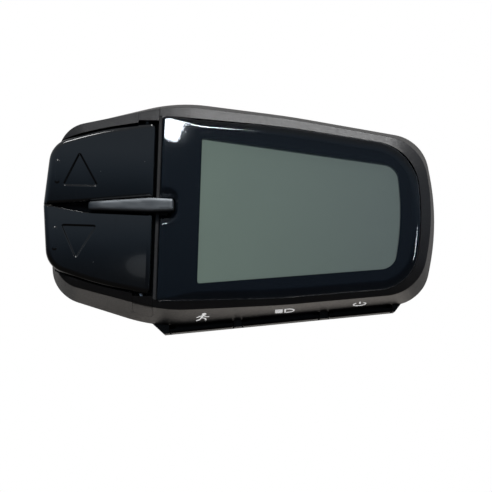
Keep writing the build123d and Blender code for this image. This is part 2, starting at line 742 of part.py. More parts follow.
def upright_block(half_width, y_range, z_range):
    """Rectangular block about the middle of the clamp."""
    with BuildPart() as box:
        with BuildSketch(Plane.YZ):
            with Locations(((y_range[0] + y_range[1]) / 2, (z_range[0] + z_range[1]) / 2)):
                Rectangle(y_range[1] - y_range[0], z_range[1] - z_range[0])
        extrude(amount=half_width, both=True)
    return box.part


def rods(places, radius, y_start, y_end):
    """Round rods along Y between two places on the Y axis, or the holes for them."""
    with BuildPart() as group:
        with BuildSketch(Plane.XZ.offset(-y_end)):
            with Locations(*places):
                Circle(radius)
        extrude(amount=y_end - y_start)
    return group.part


clamp_slot = upright_block(BIG, (-SLOT_HALF, SLOT_HALF), (-BIG, 0.0))
screw_place = ((0.0, CLAMP_SCREW_Z),)

with BuildPart() as clamp_bracket:
    add(bar_tube(BAR_R + LINER + RING))
    add(upright_block(CLAMP_HALF, (BACK - FACE, FOOT_BACK), (-FOOT_HALF, FOOT_HALF)))
    add(upright_block(EAR_HALF, (-EAR_OUT, EAR_OUT), (EAR_BOTTOM, EAR_TOP)))
    fillet(clamp_bracket.edges().filter_by(Axis.Y).group_by(Axis.Z)[0], radius=EAR_ROUND)
    add(bar_tube(BAR_R + LINER), mode=Mode.SUBTRACT)
    add(clamp_slot, mode=Mode.SUBTRACT)
    add(rods(screw_place, CLAMP_SCREW_R, -BIG, BIG), mode=Mode.SUBTRACT)
    add(rods(screw_place, CLAMP_HEAD_R + SEAL_GAP, EAR_OUT, BIG), mode=Mode.SUBTRACT)
    nut_z = (CLAMP_SCREW_Z - NUT_SIDE / 2, CLAMP_SCREW_Z + NUT_SIDE / 2)
    add(upright_block(NUT_SIDE / 2, (NUT_FRONT, NUT_BACK), nut_z), mode=Mode.SUBTRACT)
    add(rods(insert_places, BRACKET_SHAFT_R, -BIG, BRACKET_SEAT), mode=Mode.SUBTRACT)
    add(rods(insert_places, BRACKET_HEAD_R + SEAL_GAP, BRACKET_SEAT, 0.0), mode=Mode.SUBTRACT)
save("clamp_bracket", clamp_bracket.part)

with BuildPart() as clamp_liner:
    add(bar_tube(BAR_R + LINER))
    add(bar_tube(BAR_R), mode=Mode.SUBTRACT)
    add(clamp_slot, mode=Mode.SUBTRACT)
save("clamp_liner", clamp_liner.part)

with BuildPart() as clamp_screw:
    add(rods(screw_place, CLAMP_SCREW_R, CLAMP_SCREW_TIP, EAR_OUT))
    add(rods(screw_place, CLAMP_HEAD_R, EAR_OUT, EAR_OUT + CLAMP_HEAD))
    with BuildSketch(Plane.XZ.offset(-EAR_OUT - CLAMP_HEAD)):
        with Locations((0.0, CLAMP_SCREW_Z)):
            RegularPolygon(SOCKET_R, 6)
    extrude(amount=SOCKET_DEPTH, mode=Mode.SUBTRACT)
save("clamp_screw", clamp_screw.part)

with BuildPart() as clamp_nut:
    add(upright_block(NUT_SIDE / 2, (NUT_FRONT, NUT_BACK), nut_z))
    add(rods(screw_place, CLAMP_SCREW_R, -BIG, BIG), mode=Mode.SUBTRACT)
save("clamp_nut", clamp_nut.part)

with BuildPart() as bracket_screws:
    add(rods(insert_places, BRACKET_SHAFT_R, BRACKET_SHAFT_END, BRACKET_SEAT))
    add(rods(insert_places, BRACKET_HEAD_R, BRACKET_SEAT, BRACKET_SEAT + BRACKET_HEAD))
save("bracket_screws", bracket_screws.part)

with BuildPart() as bracket_inserts:
    add(posts(insert_places, INSERT_R, INSERT_FRONT, INSERT_BACK))
    add(posts(insert_places, BRACKET_SHAFT_R, INSERT_FRONT, INSERT_BACK), mode=Mode.SUBTRACT)
save("bracket_inserts", bracket_inserts.part)
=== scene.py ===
"""Looks of the electric bicycle's handlebar display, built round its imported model.

Frame: metres; X along the handlebar, Z up, the face looks along -Y. Sizes named here are in millimetres
and depths are measured back from the lens face.
"""

import json
from math import atan2, ceil, cos, hypot, pi, radians, sin, tan

import bmesh
import bpy
import numpy as np
from mathutils import Matrix, Quaternion, Vector
from mathutils.bvhtree import BVHTree
from mathutils.geometry import delaunay_2d_cdt


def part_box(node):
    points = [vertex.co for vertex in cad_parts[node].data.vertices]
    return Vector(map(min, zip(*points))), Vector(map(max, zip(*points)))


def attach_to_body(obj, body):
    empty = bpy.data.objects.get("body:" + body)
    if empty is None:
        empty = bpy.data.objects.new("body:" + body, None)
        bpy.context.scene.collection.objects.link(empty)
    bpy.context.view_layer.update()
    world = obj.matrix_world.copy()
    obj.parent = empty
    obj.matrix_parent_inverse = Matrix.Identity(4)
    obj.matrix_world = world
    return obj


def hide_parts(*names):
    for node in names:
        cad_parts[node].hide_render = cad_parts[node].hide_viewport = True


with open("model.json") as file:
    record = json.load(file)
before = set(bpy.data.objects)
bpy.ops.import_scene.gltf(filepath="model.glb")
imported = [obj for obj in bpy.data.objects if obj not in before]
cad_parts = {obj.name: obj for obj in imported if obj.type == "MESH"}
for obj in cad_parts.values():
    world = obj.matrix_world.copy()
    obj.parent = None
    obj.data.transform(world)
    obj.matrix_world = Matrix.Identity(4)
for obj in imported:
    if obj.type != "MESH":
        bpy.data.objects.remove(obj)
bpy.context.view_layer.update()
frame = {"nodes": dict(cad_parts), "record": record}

MM = 0.001
FACE = -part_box("window_lens")[0].y / MM
scene = bpy.context.scene

# ---- camera ----
CAMERA_AZIMUTH = radians(-0.06)
CAMERA_ELEVATION = radians(-5.21)
CAMERA_ROLL = radians(1.87)
CAMERA_AIM = Vector((1.31, -FACE, -6.39)) * MM
CAMERA_DISTANCE = 0.3778
FOCAL_LENGTH = 154.3


def add_camera():
    """Camera from its bearing round the object, with a slight roll."""
    ahead = Vector(
        (
            -sin(CAMERA_AZIMUTH) * cos(CAMERA_ELEVATION),
            cos(CAMERA_AZIMUTH) * cos(CAMERA_ELEVATION),
            -sin(CAMERA_ELEVATION),
        )
    )
    level = Vector((cos(CAMERA_AZIMUTH), sin(CAMERA_AZIMUTH), 0.0))
    above = level.cross(ahead)
    right = cos(CAMERA_ROLL) * level + sin(CAMERA_ROLL) * above
    up = -sin(CAMERA_ROLL) * level + cos(CAMERA_ROLL) * above
    data = bpy.data.cameras.new("camera")
    data.lens = FOCAL_LENGTH
    data.sensor_width = 36.0
    data.clip_start = 0.01
    camera = bpy.data.objects.new("camera", data)
    scene.collection.objects.link(camera)
    turned = Matrix((right, up, -ahead)).transposed().to_4x4()
    camera.matrix_world = Matrix.Translation(CAMERA_AIM - CAMERA_DISTANCE * ahead) @ turned
    scene.camera = camera


add_camera()


# ---- shader helpers ----
class Nodes:
    """A material under construction: short calls that add and join nodes."""

    def __init__(self, name):
        self.material = bpy.data.materials.new(name)
        self.material.use_nodes = True
        self.tree = self.material.node_tree
        self.tree.nodes.clear()
        self.output = self.add("ShaderNodeOutputMaterial")
        self.place = self.add("ShaderNodeTexCoord").outputs["Object"]

    def add(self, kind, **settings):
        node = self.tree.nodes.new(kind)
        for key, value in settings.items():
            setattr(node, key, value)
        return node

    def set(self, node, **inputs):
        for key, value in inputs.items():
            socket = node.inputs[key.replace("_", " ")]
            if isinstance(value, bpy.types.NodeSocket):
                self.tree.links.new(value, socket)
            else:
                socket.default_value = value
        return node

    def noise(self, size, detail=2.0, rough=0.5, place=None):
        """Noise whose features are about this many millimetres."""
        node = self.set(self.add("ShaderNodeTexNoise"), Scale=1 / (size * MM), Detail=detail, Roughness=rough)
        self.tree.links.new(place or self.place, node.inputs["Vector"])
        return node.outputs["Fac"]

    def stretched(self, x, y, z):
        """Coordinates scaled per axis, for streaks."""
        node = self.set(self.add("ShaderNodeVectorMath", operation="MULTIPLY"), Vector=self.place)
        node.inputs[1].default_value = (x, y, z)
        return node.outputs["Vector"]

    def cells(self, size, feature="F1"):
        node = self.set(self.add("ShaderNodeTexVoronoi", feature=feature), Scale=1 / (size * MM))
        self.tree.links.new(self.place, node.inputs["Vector"])
        return node.outputs["Distance"]

    def ramp(self, value, low, high, out_low=0.0, out_high=1.0):
        """Value mapped from one span to another, held at its ends."""
        node = self.add("ShaderNodeMapRange", clamp=True)
        for index, item in enumerate((value, low, high, out_low, out_high)):
            if isinstance(item, bpy.types.NodeSocket):
                self.tree.links.new(item, node.inputs[index])
            else:
                node.inputs[index].default_value = item
        return node.outputs[0]

    def math(self, operation, first, second=0.0):
        node = self.add("ShaderNodeMath", operation=operation)
        for index, item in enumerate((first, second)):
            if isinstance(item, bpy.types.NodeSocket):
                self.tree.links.new(item, node.inputs[index])
            else:
                node.inputs[index].default_value = item
        return node.outputs[0]

    def blend(self, factor, first, second):
        """Mixed colour."""
        node = self.add("ShaderNodeMix", data_type="RGBA")
        for index, item in ((0, factor), (6, first), (7, second)):
            if isinstance(item, bpy.types.NodeSocket):
                self.tree.links.new(item, node.inputs[index])
            else:
                node.inputs[index].default_value = item if index == 0 else (*item, 1.0)
        return node.outputs[2]

    def axis(self, name):
        """One object coordinate, in metres."""
        node = self.set(self.add("ShaderNodeSeparateXYZ"), Vector=self.place)
        return node.outputs[name]

    def bump(self, height, depth, strength=1.0, under=None):
        """Surface relief this many millimetres deep."""
        node = self.set(self.add("ShaderNodeBump"), Height=height, Distance=depth * MM, Strength=strength)
        if under:
            self.tree.links.new(under, node.inputs["Normal"])
        return node.outputs["Normal"]

    def surface(self, colour, rough, normal=None, **constants):
        """Principled surface."""
        node = self.set(self.add("ShaderNodeBsdfPrincipled"), Roughness=rough)
        for key, value in constants.items():
            node.inputs[key.replace("_", " ")].default_value = value
        if isinstance(colour, bpy.types.NodeSocket):
            self.tree.links.new(colour, node.inputs["Base Color"])
        else:
            node.inputs["Base Color"].default_value = (*colour, 1.0)
        if normal:
            self.tree.links.new(normal, node.inputs["Normal"])
        self.tree.links.new(node.outputs[0], self.output.inputs["Surface"])
        return self.material


def moulded(name, dark, light, rough, grain=0.35, relief=0.03, mottle=6.0, shine=0.4):
    """Moulded plastic or rubber with an eroded grain."""
    n = Nodes(name)
    broad = n.noise(mottle, 3.0)
    fine = n.noise(grain, 3.0, 0.6)
    pits = n.cells(grain * 1.6)
    tone = n.blend(n.ramp(broad, 0.3, 0.7), dark, light)
    tone = n.blend(n.ramp(fine, 0.55, 0.8, 0.0, 0.5), tone, tuple(min(1.0, 1.8 * c) for c in light))
    height = n.math("ADD", fine, n.math("MULTIPLY", pits, 0.6))
    finish = n.ramp(fine, 0.3, 0.7, rough - 0.07, rough + 0.07)
    return n.surface(tone, finish, n.bump(height, relief), Specular_IOR_Level=shine)


def gloss(name, colour, tint, rough=0.08, dust=True, coat=0.6, shine=0.5):
    """Polished black plastic with faint smears, hairline scratches and a little dust."""
    n = Nodes(name)
    smear = n.noise(7.0, 4.0, 0.6)
    hairs = n.noise(0.9, 2.0, 0.7, n.stretched(1.0, 1.0, 0.12))
    tone = n.blend(n.ramp(smear, 0.35, 0.7), colour, tint)
    finish = n.ramp(smear, 0.35, 0.75, rough, rough + 0.07)
    finish = n.math("ADD", finish, n.ramp(hairs, 0.66, 0.74, 0.0, 0.1))
    if dust:
        fleck = n.ramp(n.cells(2.6), 0.035, 0.02)
        tone = n.blend(n.math("MULTIPLY", fleck, 0.25), tone, (0.5, 0.5, 0.5))
        finish = n.math("ADD", finish, n.math("MULTIPLY", fleck, 0.5))
    normal = n.bump(n.noise(5.0, 1.0), 0.012)
    return n.surface(tone, finish, normal, Coat_Weight=coat, Coat_Roughness=0.04, Specular_IOR_Level=shine)


def metal(name, colour, rough, brush=(1.0, 1.0, 0.08), grain=0.25, relief=0.006):
    """Bare or plated metal with a directional finish."""
    n = Nodes(name)
    streak = n.noise(grain, 3.0, 0.6, n.stretched(*brush))
    broad = n.noise(3.0, 2.0)
    tone = n.blend(n.ramp(broad, 0.3, 0.7), tuple(0.82 * c for c in colour), colour)
    finish = n.ramp(streak, 0.3, 0.7, rough - 0.06, rough + 0.08)
    return n.surface(tone, finish, n.bump(streak, relief), Metallic=1.0)


def clear_window():
    """Clear window plastic: lets light straight through and keeps its gloss."""
    n = Nodes("window_clear")
    clear = n.add("ShaderNodeBsdfTransparent")
    clear.inputs["Color"].default_value = (0.955, 0.965, 0.97, 1.0)
    shine = n.add("ShaderNodeBsdfGlossy")
    shine.inputs["Color"].default_value = (0.9, 0.94, 1.0, 1.0)
    smear = n.noise(9.0, 4.0, 0.6)
    hairs = n.noise(1.1, 2.0, 0.7, n.stretched(0.15, 1.0, 1.0))
    finish = n.math("ADD", n.ramp(smear, 0.4, 0.8, 0.02, 0.06), n.ramp(hairs, 0.68, 0.76, 0.0, 0.08))
    n.tree.links.new(finish, shine.inputs["Roughness"])
    edge = n.set(n.add("ShaderNodeFresnel"), IOR=1.5).outputs[0]
    inner_side = n.add("ShaderNodeNewGeometry").outputs["Backfacing"]
    share = n.math("MULTIPLY", edge, n.math("SUBTRACT", 1.0, inner_side))
    mixed = n.add("ShaderNodeMixShader")
    n.tree.links.new(share, mixed.inputs[0])
    n.tree.links.new(clear.outputs[0], mixed.inputs[1])
    n.tree.links.new(shine.outputs[0], mixed.inputs[2])
    n.tree.links.new(mixed.outputs[0], n.output.inputs["Surface"])
    return n.material


def lcd_surface():
    """Unpowered reflective LCD: grey-green, a little greener and lighter towards the left."""
    n = Nodes("lcd_glass")
    across = n.ramp(n.axis("X"), -0.008, 0.03)
    tone = n.blend(across, (0.143, 0.187, 0.150), (0.092, 0.113, 0.107))
    cloud = n.ramp(n.noise(9.0, 3.0), 0.3, 0.7, 0.0, 0.25)
    tone = n.blend(cloud, tone, (0.112, 0.145, 0.125))
    lines = n.noise(0.35, 2.0, 0.6, n.stretched(1.0, 1.0, 0.2))
    tone = n.blend(n.ramp(lines, 0.4, 0.8, 0.0, 0.10), tone, (0.16, 0.20, 0.175))
    return n.surface(tone, n.ramp(lines, 0.3, 0.7, 0.5, 0.62), n.bump(lines, 0.004), Specular_IOR_Level=0.3)


MATERIALS = {
    "housing_plastic": moulded(
        "housing_plastic", (0.0075, 0.0075, 0.0085), (0.011, 0.011, 0.012), 0.42, 0.26, 0.03
    ),
    "case_plastic": moulded(
        "case_plastic", (0.008, 0.008, 0.0085), (0.011, 0.0108, 0.0105), 0.5, 0.3, 0.02, shine=0.3
    ),
    "window_clear": clear_window(),
    "window_print": moulded(
        "window_print", (0.0012, 0.002, 0.0034), (0.0016, 0.0026, 0.0042), 0.5, 0.5, 0.002, shine=0.0
    ),
    "lcd_glass": lcd_surface(),
    "light_guide": moulded("light_guide", (0.75, 0.78, 0.76), (0.85, 0.86, 0.84), 0.25, 0.6, 0.004),
    "tray_white": moulded("tray_white", (0.72, 0.72, 0.70), (0.80, 0.80, 0.78), 0.45, 0.4, 0.01),
    "button_gloss": gloss("button_gloss", (0.0022, 0.0027, 0.0036), (0.0035, 0.0042, 0.0054), 0.09),
    "divider_satin": metal("divider_satin", (0.125, 0.135, 0.145), 0.45, (0.1, 1.0, 1.0)),
    "key_gloss": gloss("key_gloss", (0.002, 0.0018, 0.0016), (0.003, 0.0026, 0.0024), 0.36, False, 0.0, 0.18),
    "board_laminate": moulded(
        "board_laminate", (0.012, 0.055, 0.024), (0.02, 0.085, 0.035), 0.35, 0.5, 0.01, 4.0
    ),
    "chip_epoxy": moulded("chip_epoxy", (0.012, 0.012, 0.013), (0.02, 0.02, 0.021), 0.5, 0.2, 0.01),
    "shield_can": metal("shield_can", (0.62, 0.62, 0.60), 0.32),
    "connector_nylon": moulded("connector_nylon", (0.62, 0.58, 0.48), (0.7, 0.66, 0.56), 0.5, 0.3, 0.01),
    "silicone": moulded("silicone", (0.05, 0.05, 0.052), (0.075, 0.075, 0.078), 0.6, 0.3, 0.01),
    "seal_rubber": moulded("seal_rubber", (0.014, 0.014, 0.014), (0.024, 0.024, 0.024), 0.7, 0.25, 0.02),
    "adhesive": moulded("adhesive", (0.02, 0.02, 0.02), (0.03, 0.03, 0.03), 0.6, 0.4, 0.01),
    "screw_steel": metal("screw_steel", (0.55, 0.55, 0.56), 0.3),
    "pin_steel": metal("pin_steel", (0.60, 0.60, 0.61), 0.2),
    "insert_brass": metal("insert_brass", (0.62, 0.44, 0.18), 0.32),
    "ink": moulded("ink", (0.72, 0.72, 0.72), (0.80, 0.80, 0.80), 0.5, 0.25, 0.002),
    "bracket_alloy": metal("bracket_alloy", (0.035, 0.036, 0.038), 0.5, (1.0, 1.0, 1.0), 0.3, 0.02),
}

# ---- every carried-over CAD node takes its slot's finish ----
record = frame["record"]
node_slot = {}
for row in record.get("materials", []):
    for node_name in row.get("nodes", []) or []:
        node_slot[node_name] = row["slot"]
for node_name, piece in frame["nodes"].items():
    slot_name = node_slot.get(node_name)
    if slot_name is None and piece.data.materials:
        slot_name = piece.data.materials[0].name.split(".")[0]
    piece.data.materials.clear()
    piece.data.materials.append(MATERIALS[slot_name])

# ---- outlines that the visible skins follow: x, z, corner radius, clockwise from the left ----
UPPER_BUTTON = [
    (-35.4, 0.03, 0.12),
    (-34.4, 11.2, 4.5),
    (-26.0, 13.9, 60.0),
    (-15.5, 15.75, 1.0),
    (-15.5, 1.95, 0.4),
    (-27.9, 0.55, 1.0),
    (-33.5, 0.06, 2.0),
]
LOWER_BUTTON = [
    (-35.4, -0.03, 0.12),
    (-33.5, -0.06, 2.0),
    (-27.9, -1.0, 1.0),
    (-15.5, -1.12, 0.4),
    (-15.5, -15.75, 1.0),
    (-26.0, -13.9, 60.0),
    (-34.4, -11.2, 4.5),
]
LENS = [
    (-14.5, 16.8, 0.8),
    (7.5, 15.55, 150.0),
    (31.2, 12.5, 9.0),
    (32.9, 0.0, 45.0),
    (31.7, -12.7, 7.5),
    (7.5, -15.55, 150.0),
    (-14.5, -16.8, 0.8),
    (-14.5, -1.15, 0.15),
    (-11.65, -0.95, 0.5),
    (-11.65, 1.85, 0.5),
    (-14.5, 1.95, 0.15),
]
FIN = [
    (-27.2, 0.6, 0.5),
    (-15.9, 1.7, 20.0),
    (-11.9, 1.6, 0.5),
    (-11.9, -0.6, 0.5),
    (-15.9, -0.9, 20.0),
    (-27.2, -0.9, 0.5),
]
ARROW_UP = [(-31.9, 3.6, 0.25), (-29.15, 9.5, 0.2), (-25.7, 3.6, 0.25)]
ARROW_DOWN = [(-31.9, -3.6, 0.25), (-25.7, -3.6, 0.25), (-29.15, -9.5, 0.2)]
RIDGE_UP = [(-33.35, 4.0, 0.3), (-33.35, 8.1, 0.3), (-32.7, 8.1, 0.3), (-32.7, 4.0, 0.3)]
RIDGE_DOWN = [(-33.35, -8.1, 0.3), (-33.35, -4.0, 0.3), (-32.7, -4.0, 0.3), (-32.7, -8.1, 0.3)]


def corner_turn(before, after):
    """Signed angle between two directions; negative to the right."""
    return atan2(before.x * after.y - before.y * after.x, before.dot(after))


def directions(points):
    return [(points[(i + 1) % len(points)] - p).normalized() for i, p in enumerate(points)]


def ring(corners, inset=0.0, span=0.6):
    """Points round a rounded outline drawn in by a distance; every inset gives the same number of points."""
    points = [Vector(c[:2]) for c in corners]
    ways = directions(points)
    arcs = []
    for i, (x, z, radius) in enumerate(corners):
        before, after = ways[i - 1], ways[i]
        turn = corner_turn(before, after)
        inward, inward_after = Vector((before.y, -before.x)), Vector((after.y, -after.x))
        corner = points[i] + (inward + inward_after) * (inset / (1 + inward.dot(inward_after)))
        side = 1.0 if turn < 0 else -1.0
        steps = max(5, ceil(abs(turn) * radius / span))
        bend = max(radius - side * inset, 0.02)
        start = corner - before * (bend * tan(abs(turn) / 2))
        centre = start + inward * (bend * side)
        arm = start - centre
        arcs.append([centre + Matrix.Rotation(turn * k / steps, 2) @ arm for k in range(steps + 1)])
    result = []
    for i, arc in enumerate(arcs):
        result += arc
        far = arcs[(i + 1) % len(arcs)][0]
        steps = max(1, ceil((points[(i + 1) % len(points)] - points[i]).length / span))
        result += [arc[-1].lerp(far, k / steps) for k in range(1, steps)]
    return result


def inside(places, loop):
    """Which places lie inside a closed loop."""
    p = np.array(places)[:, None, :]
    a = np.array(loop)[None, :, :]
    b = np.roll(a, -1, axis=1)
    crosses = (a[..., 1] > p[..., 1]) != (b[..., 1] > p[..., 1])
    rise = np.where(b[..., 1] == a[..., 1], 1e-12, b[..., 1] - a[..., 1])
    meets = a[..., 0] + (p[..., 1] - a[..., 1]) / rise * (b[..., 0] - a[..., 0])
    return ((crosses & (p[..., 0] < meets)).sum(1) % 2) == 1


SLIVER = 1e-4  # triangles smaller than this lie along a straight edge and are left out
ROW_PITCH = 0.87  # rows of even triangles, as a share of their side
EDGE_GAP = 0.55  # how far the filling points keep from an outline, as a share of the same side


class Skin:
    """A closed mesh drawn on the XZ plane, with a depth behind the lens face at every point."""

    def __init__(self, name, crown=None):
        self.name = name
        self.form = bmesh.new()
        self.crown = crown or (lambda x, z: 0.0)
        self.flat = {}

    def loop(self, points, depth, crowned=True):
        verts = []
        for x, z in points:
            real = depth + (self.crown(x, z) if crowned else 0.0)
            vert = self.form.verts.new((x * MM, (real - FACE) * MM, z * MM))
            self.flat[vert] = (x, z)
            verts.append(vert)
        return verts

    def strip(self, first, second):
        count = len(first)
        for i in range(count):
            j = (i + 1) % count
            self.form.faces.new((first[i], first[j], second[j], second[i]))

    def fill(self, outer, holes, depth, step):
        """Fills a loop with even triangles, leaving out the loops inside it."""
        loops = [outer, *holes]
        chains = [[self.flat[v] for v in loop] for loop in loops]
        xs, zs = [x for x, z in chains[0]], [z for x, z in chains[0]]
        grid = []
        row, z = 0, min(zs)
        while z < max(zs):
            x = min(xs) + (step / 2 if row % 2 else 0.0)
            while x < max(xs):
                grid.append((x, z))
                x += step
            z += step * ROW_PITCH
            row += 1
        edge_points = np.array([p for chain in chains for p in chain])
        gaps = np.sqrt(((np.array(grid)[:, None, :] - edge_points[None, :, :]) ** 2).sum(-1)).min(1)
        held = (gaps > EDGE_GAP * step) & self.wanted(grid, chains)
        extra = self.loop([p for p, keep in zip(grid, held) if keep], depth)
        verts = [v for loop in loops for v in loop] + extra
        edges, base = [], 0
        for chain in chains:
            edges += [(base + i, base + (i + 1) % len(chain)) for i in range(len(chain))]
            base += len(chain)
        made = delaunay_2d_cdt([Vector(self.flat[v]) for v in verts], edges, [], 0, 1e-6)
        middles = [tuple(sum((made[0][i] for i in face), Vector((0, 0))) / len(face)) for face in made[2]]
        for face, keep in zip(made[2], self.wanted(middles, chains)):
            a, b, c = (made[0][i] for i in face)
            if keep and abs((b - a).cross(c - a)) > SLIVER:
                self.form.faces.new([verts[made[3][i][0]] for i in face])

    def wanted(self, places, chains):
        """Which places lie in the first loop and in none of the others."""
        held = inside(places, chains[0])
        for chain in chains[1:]:
            held &= ~inside(places, chain)
        return held

    def cap(self, loop):
        self.form.faces.new(loop)

    def finish(self, sharp=42.0):
        """Piece from the mesh, with outward faces, smooth shading and crisp edges where it folds."""
        form = self.form
        bmesh.ops.recalc_face_normals(form, faces=form.faces)
        for face in form.faces:
            face.smooth = True
        for edge in form.edges:
            if len(edge.link_faces) == 2:
                edge.smooth = edge.calc_face_angle(0.0) < radians(sharp)
        mesh = bpy.data.meshes.new(self.name)
        form.to_mesh(mesh)
        form.free()
        piece = bpy.data.objects.new(self.name, mesh)
        scene.collection.objects.link(piece)
        return piece


def rounded_edge(width, drop, steps=9):
    """Insets and depths of a quarter-ellipse shoulder, from the wall to the top."""
    angles = [pi / 2 * k / steps for k in range(steps + 1)]
    return [(width * (1 - cos(angle)), drop * (1 - sin(angle))) for angle in angles]


def attach(piece, body, slot, *nodes):
    """Gives a piece its finish and its body, and hides the CAD nodes named."""
    piece.data.materials.append(MATERIALS[slot])
    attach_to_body(piece, body)
    if nodes:
        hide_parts(*nodes)
    return piece


def eased_share(value, start, end):
    """Share from 0 at the start to 1 at the end, eased at both."""
    share = min(1.0, max(0.0, (value - start) / (end - start)))
    return share * share * (3 - 2 * share)


MARK_WALL = 0.26
MARK_STEPS = 4
MARK_SPAN = 0.35
MARK_GUARDS = (0.08, 0.05)  # flat rings outside and inside the wall, which keep its shading to itself


def soft_mark(corners, depth):
    """Rings of a sunk or raised mark with softened walls: (points, extra depth)."""
    half = MARK_WALL / 2
    rings = [(ring(corners, -half - MARK_GUARDS[0], MARK_SPAN), 0.0)]
    for k in range(MARK_STEPS + 1):
        t = k / MARK_STEPS
        rings.append((ring(corners, -half + MARK_WALL * t, MARK_SPAN), depth * eased_share(t, 0.0, 1.0)))
    rings.append((ring(corners, half + MARK_GUARDS[1], MARK_SPAN), depth))
    return rings


SEAM_SHARE = {1.0: 0.3, -1.0: 0.6}  # how much narrower the shoulder is at the seam, above and below it
SEAM_SPAN = (5.5, 2.5)


def seam_ring(corners, inset):
    """Outline of a button drawn in by a distance, less so along the seam between the buttons."""
    side = 1.0 if sum(c[1] for c in corners) > 0 else -1.0
    points = []
    for x, z in ring(corners, inset):
        share = eased_share(side * z, *SEAM_SPAN)
        points.append((x, z - side * SEAM_SHARE[side] * inset * share))
    return points


CAP_TOP, CAP_SKIRT, CAP_UNDER, CAP_WALL = 0.15, 3.4, 1.6, 1.3
CAP_SHOULDER = (0.95, 1.1)
CAP_GUARD = 1.08
CAP_MESH = 0.5


def button(name, corners, marks, crown):
    """Thumb button: a hollow, crowned cap with a rounded shoulder, a sunk arrow and a touch ridge."""
    skin = Skin(name, crown)
    core = skin.loop(ring(corners, CAP_WALL), CAP_UNDER, False)
    skin.cap(core)
    inner = skin.loop(ring(corners, CAP_WALL), CAP_SKIRT, False)
    skin.strip(core, inner)
    outer = skin.loop(ring(corners), CAP_SKIRT, False)
    skin.strip(inner, outer)
    last = outer
    for inset, drop in [*rounded_edge(*CAP_SHOULDER), (CAP_GUARD, 0.0)]:
        following = skin.loop(seam_ring(corners, inset), CAP_TOP + drop)
        skin.strip(last, following)
        last = following
    holes = []
    for mark, depth in marks:
        before = None
        for points, extra in soft_mark(mark, depth):
            verts = skin.loop(points, CAP_TOP + extra)
            if before is None:
                holes.append(verts)
            else:
                skin.strip(before, verts)
            before = verts
        skin.fill(before, [], CAP_TOP + depth, CAP_MESH)
    skin.fill(last, holes, CAP_TOP, CAP_MESH)
    return skin.finish()


SAME_POINT = 1e-6
FLAT_ANGLE = radians(0.4)
SKIN_FOLD = radians(32)


def eased(node, name, slot, rounds):
    """Copy of a moulded CAD skin with its outer edges eased: width, segments, depth span, smallest fold."""
    form = bmesh.new()
    form.from_mesh(frame["nodes"][node].data)
    bmesh.ops.remove_doubles(form, verts=form.verts, dist=SAME_POINT)
    bmesh.ops.dissolve_limit(form, angle_limit=FLAT_ANGLE, verts=form.verts, edges=form.edges)
    for width, segments, shallow, deep, fold in rounds:
        chosen = []
        for edge in form.edges:
            depths = [v.co.y / MM + FACE for v in edge.verts]
            if len(edge.link_faces) == 2 and shallow < min(depths) and max(depths) < deep:
                if edge.calc_face_angle(0.0) > radians(fold):
                    chosen.append(edge)
        bmesh.ops.bevel(
            form,
            geom=chosen,
            offset=width * MM,
            segments=segments,
            profile=0.5,
            affect="EDGES",
            clamp_overlap=True,
        )
    for face in form.faces:
        face.smooth = True
    for edge in form.edges:
        if len(edge.link_faces) == 2:
            edge.smooth = edge.calc_face_angle(0.0) < SKIN_FOLD
    mesh = bpy.data.meshes.new(name)
    form.to_mesh(mesh)
    form.free()
    piece = bpy.data.objects.new(name, mesh)
    scene.collection.objects.link(piece)
    even = piece.modifiers.new("even_normals", "WEIGHTED_NORMAL")
    even.keep_sharp = True
    return attach(piece, "root", slot, node)


RIM_DEPTH = 2.2
SKIN_ROUNDS = (
    (0.5, 4, RIM_DEPTH - 0.05, RIM_DEPTH + 0.05, 20.0),
    (0.12, 2, -0.5, RIM_DEPTH - 0.3, 28.0),
)


def add_housing():
    """Front housing and button bridge with eased edges."""
    eased("front_housing", "housing_skin", "housing_plastic", SKIN_ROUNDS)
    eased("button_bridge", "bridge_skin", "housing_plastic", SKIN_ROUNDS)


ARROW_DEPTH = 0.3
RIDGE_HEIGHT = 0.12
CROWN_MIDDLE = (-23.0, 6.6)
CROWN_HALF = (11.0, 8.0)
CROWN_DROP = (0.30, 0.32)


def crowned(middle_z):
    """Function that gives a button's drop at a place, from its high middle."""

    def drop(x, z):
        across = (x - CROWN_MIDDLE[0]) / CROWN_HALF[0]
        up = (z - middle_z) / CROWN_HALF[1]
        return CROWN_DROP[0] * across**2 + CROWN_DROP[1] * up**2

    return drop


def add_buttons():
    """Both thumb buttons, each crowned about its own middle."""
    rows = (
        ("upper_button_cap", "up_button", UPPER_BUTTON, ARROW_UP, RIDGE_UP, 1.0),
        ("lower_button_cap", "down_button", LOWER_BUTTON, ARROW_DOWN, RIDGE_DOWN, -1.0),
    )
    for name, node, corners, arrow, ridge, side in rows:
        marks = [(arrow, ARROW_DEPTH), (ridge, -RIDGE_HEIGHT)]
        attach(button(name, corners, marks, crowned(side * CROWN_MIDDLE[1])), node, "button_gloss", node)


LENS_SPAN = 1.0
LENS_BACK = 1.98
LENS_SHOULDER = (1.55, 1.1)
LENS_GUARD = 1.72
LENS_MESH = 1.6
LENS_LEFT = (-7.0, -12.0)  # where the shoulder starts to narrow, and where it is narrowest
LENS_NARROWING = 0.7
LENS_CALM = 8.0
BORDER_SECTION = ((0.06, 1.85), (1.6, 1.85), (1.6, 1.95), (0.06, 1.95))


def lens_ring(inset):
    """Outline of the window drawn in by a distance, less so along its left end."""
    points = []
    for x, z in ring(LENS, inset, LENS_SPAN):
        pull = LENS_NARROWING * inset * eased_share(x, *LENS_LEFT)
        points.append((x - pull, z + pull * max(-1.0, min(1.0, z / LENS_CALM))))
    return points


